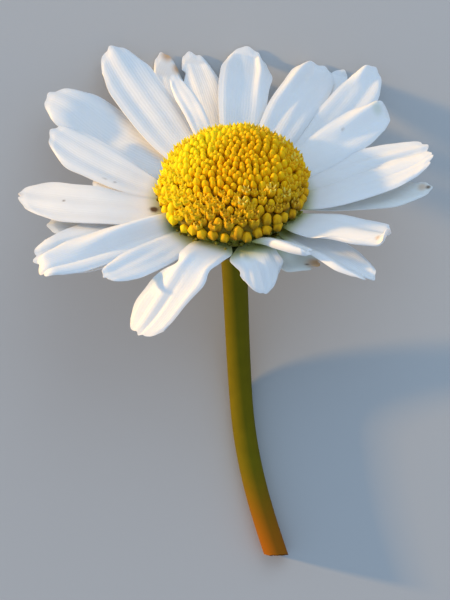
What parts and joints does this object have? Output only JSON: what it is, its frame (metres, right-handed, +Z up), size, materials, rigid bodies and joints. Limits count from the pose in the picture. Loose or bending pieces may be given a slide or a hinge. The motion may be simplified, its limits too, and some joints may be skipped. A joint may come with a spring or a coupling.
{
  "type": "marguerite daisy",
  "caption": "Cut daisy lying on a surface: white notched rays in layers round a domed yellow disc, a green cup of bracts and a bowed bare stem.",
  "frame": {"origin": "on the surface that the flower lies on, under the middle of its box", "axes": "+Z up from the surface, +Y from the stem's cut end towards the head, +X to the right seen from above"},
  "size_m": [0.0451, 0.0585, 0.0257],
  "materials": {
    "petal": "soft matt white, faintly translucent",
    "disc": "matt golden yellow",
    "involucre": "matt olive green",
    "stem": "satin olive green"
  },
  "bodies": {
    "root": {"ray_petal_01": "petal", "ray_petal_02": "petal", "ray_petal_03": "petal", "ray_petal_04": "petal", "ray_petal_05": "petal", "ray_petal_06": "petal", "ray_petal_07": "petal", "ray_petal_08": "petal", "ray_petal_09": "petal", "ray_petal_10": "petal", "ray_petal_11": "petal", "ray_petal_12": "petal", "ray_petal_13": "petal", "ray_petal_14": "petal", "ray_petal_15": "petal", "ray_petal_16": "petal", "ray_petal_17": "petal", "ray_petal_18": "petal", "ray_petal_19": "petal", "ray_petal_20": "petal", "ray_petal_21": "petal", "ray_petal_22": "petal", "ray_petal_23": "petal", "ray_petal_24": "petal", "ray_petal_25": "petal", "ray_petal_26": "petal", "disc_florets": "disc", "involucre": "involucre", "stem": "stem"}
  },
  "joints": []
}
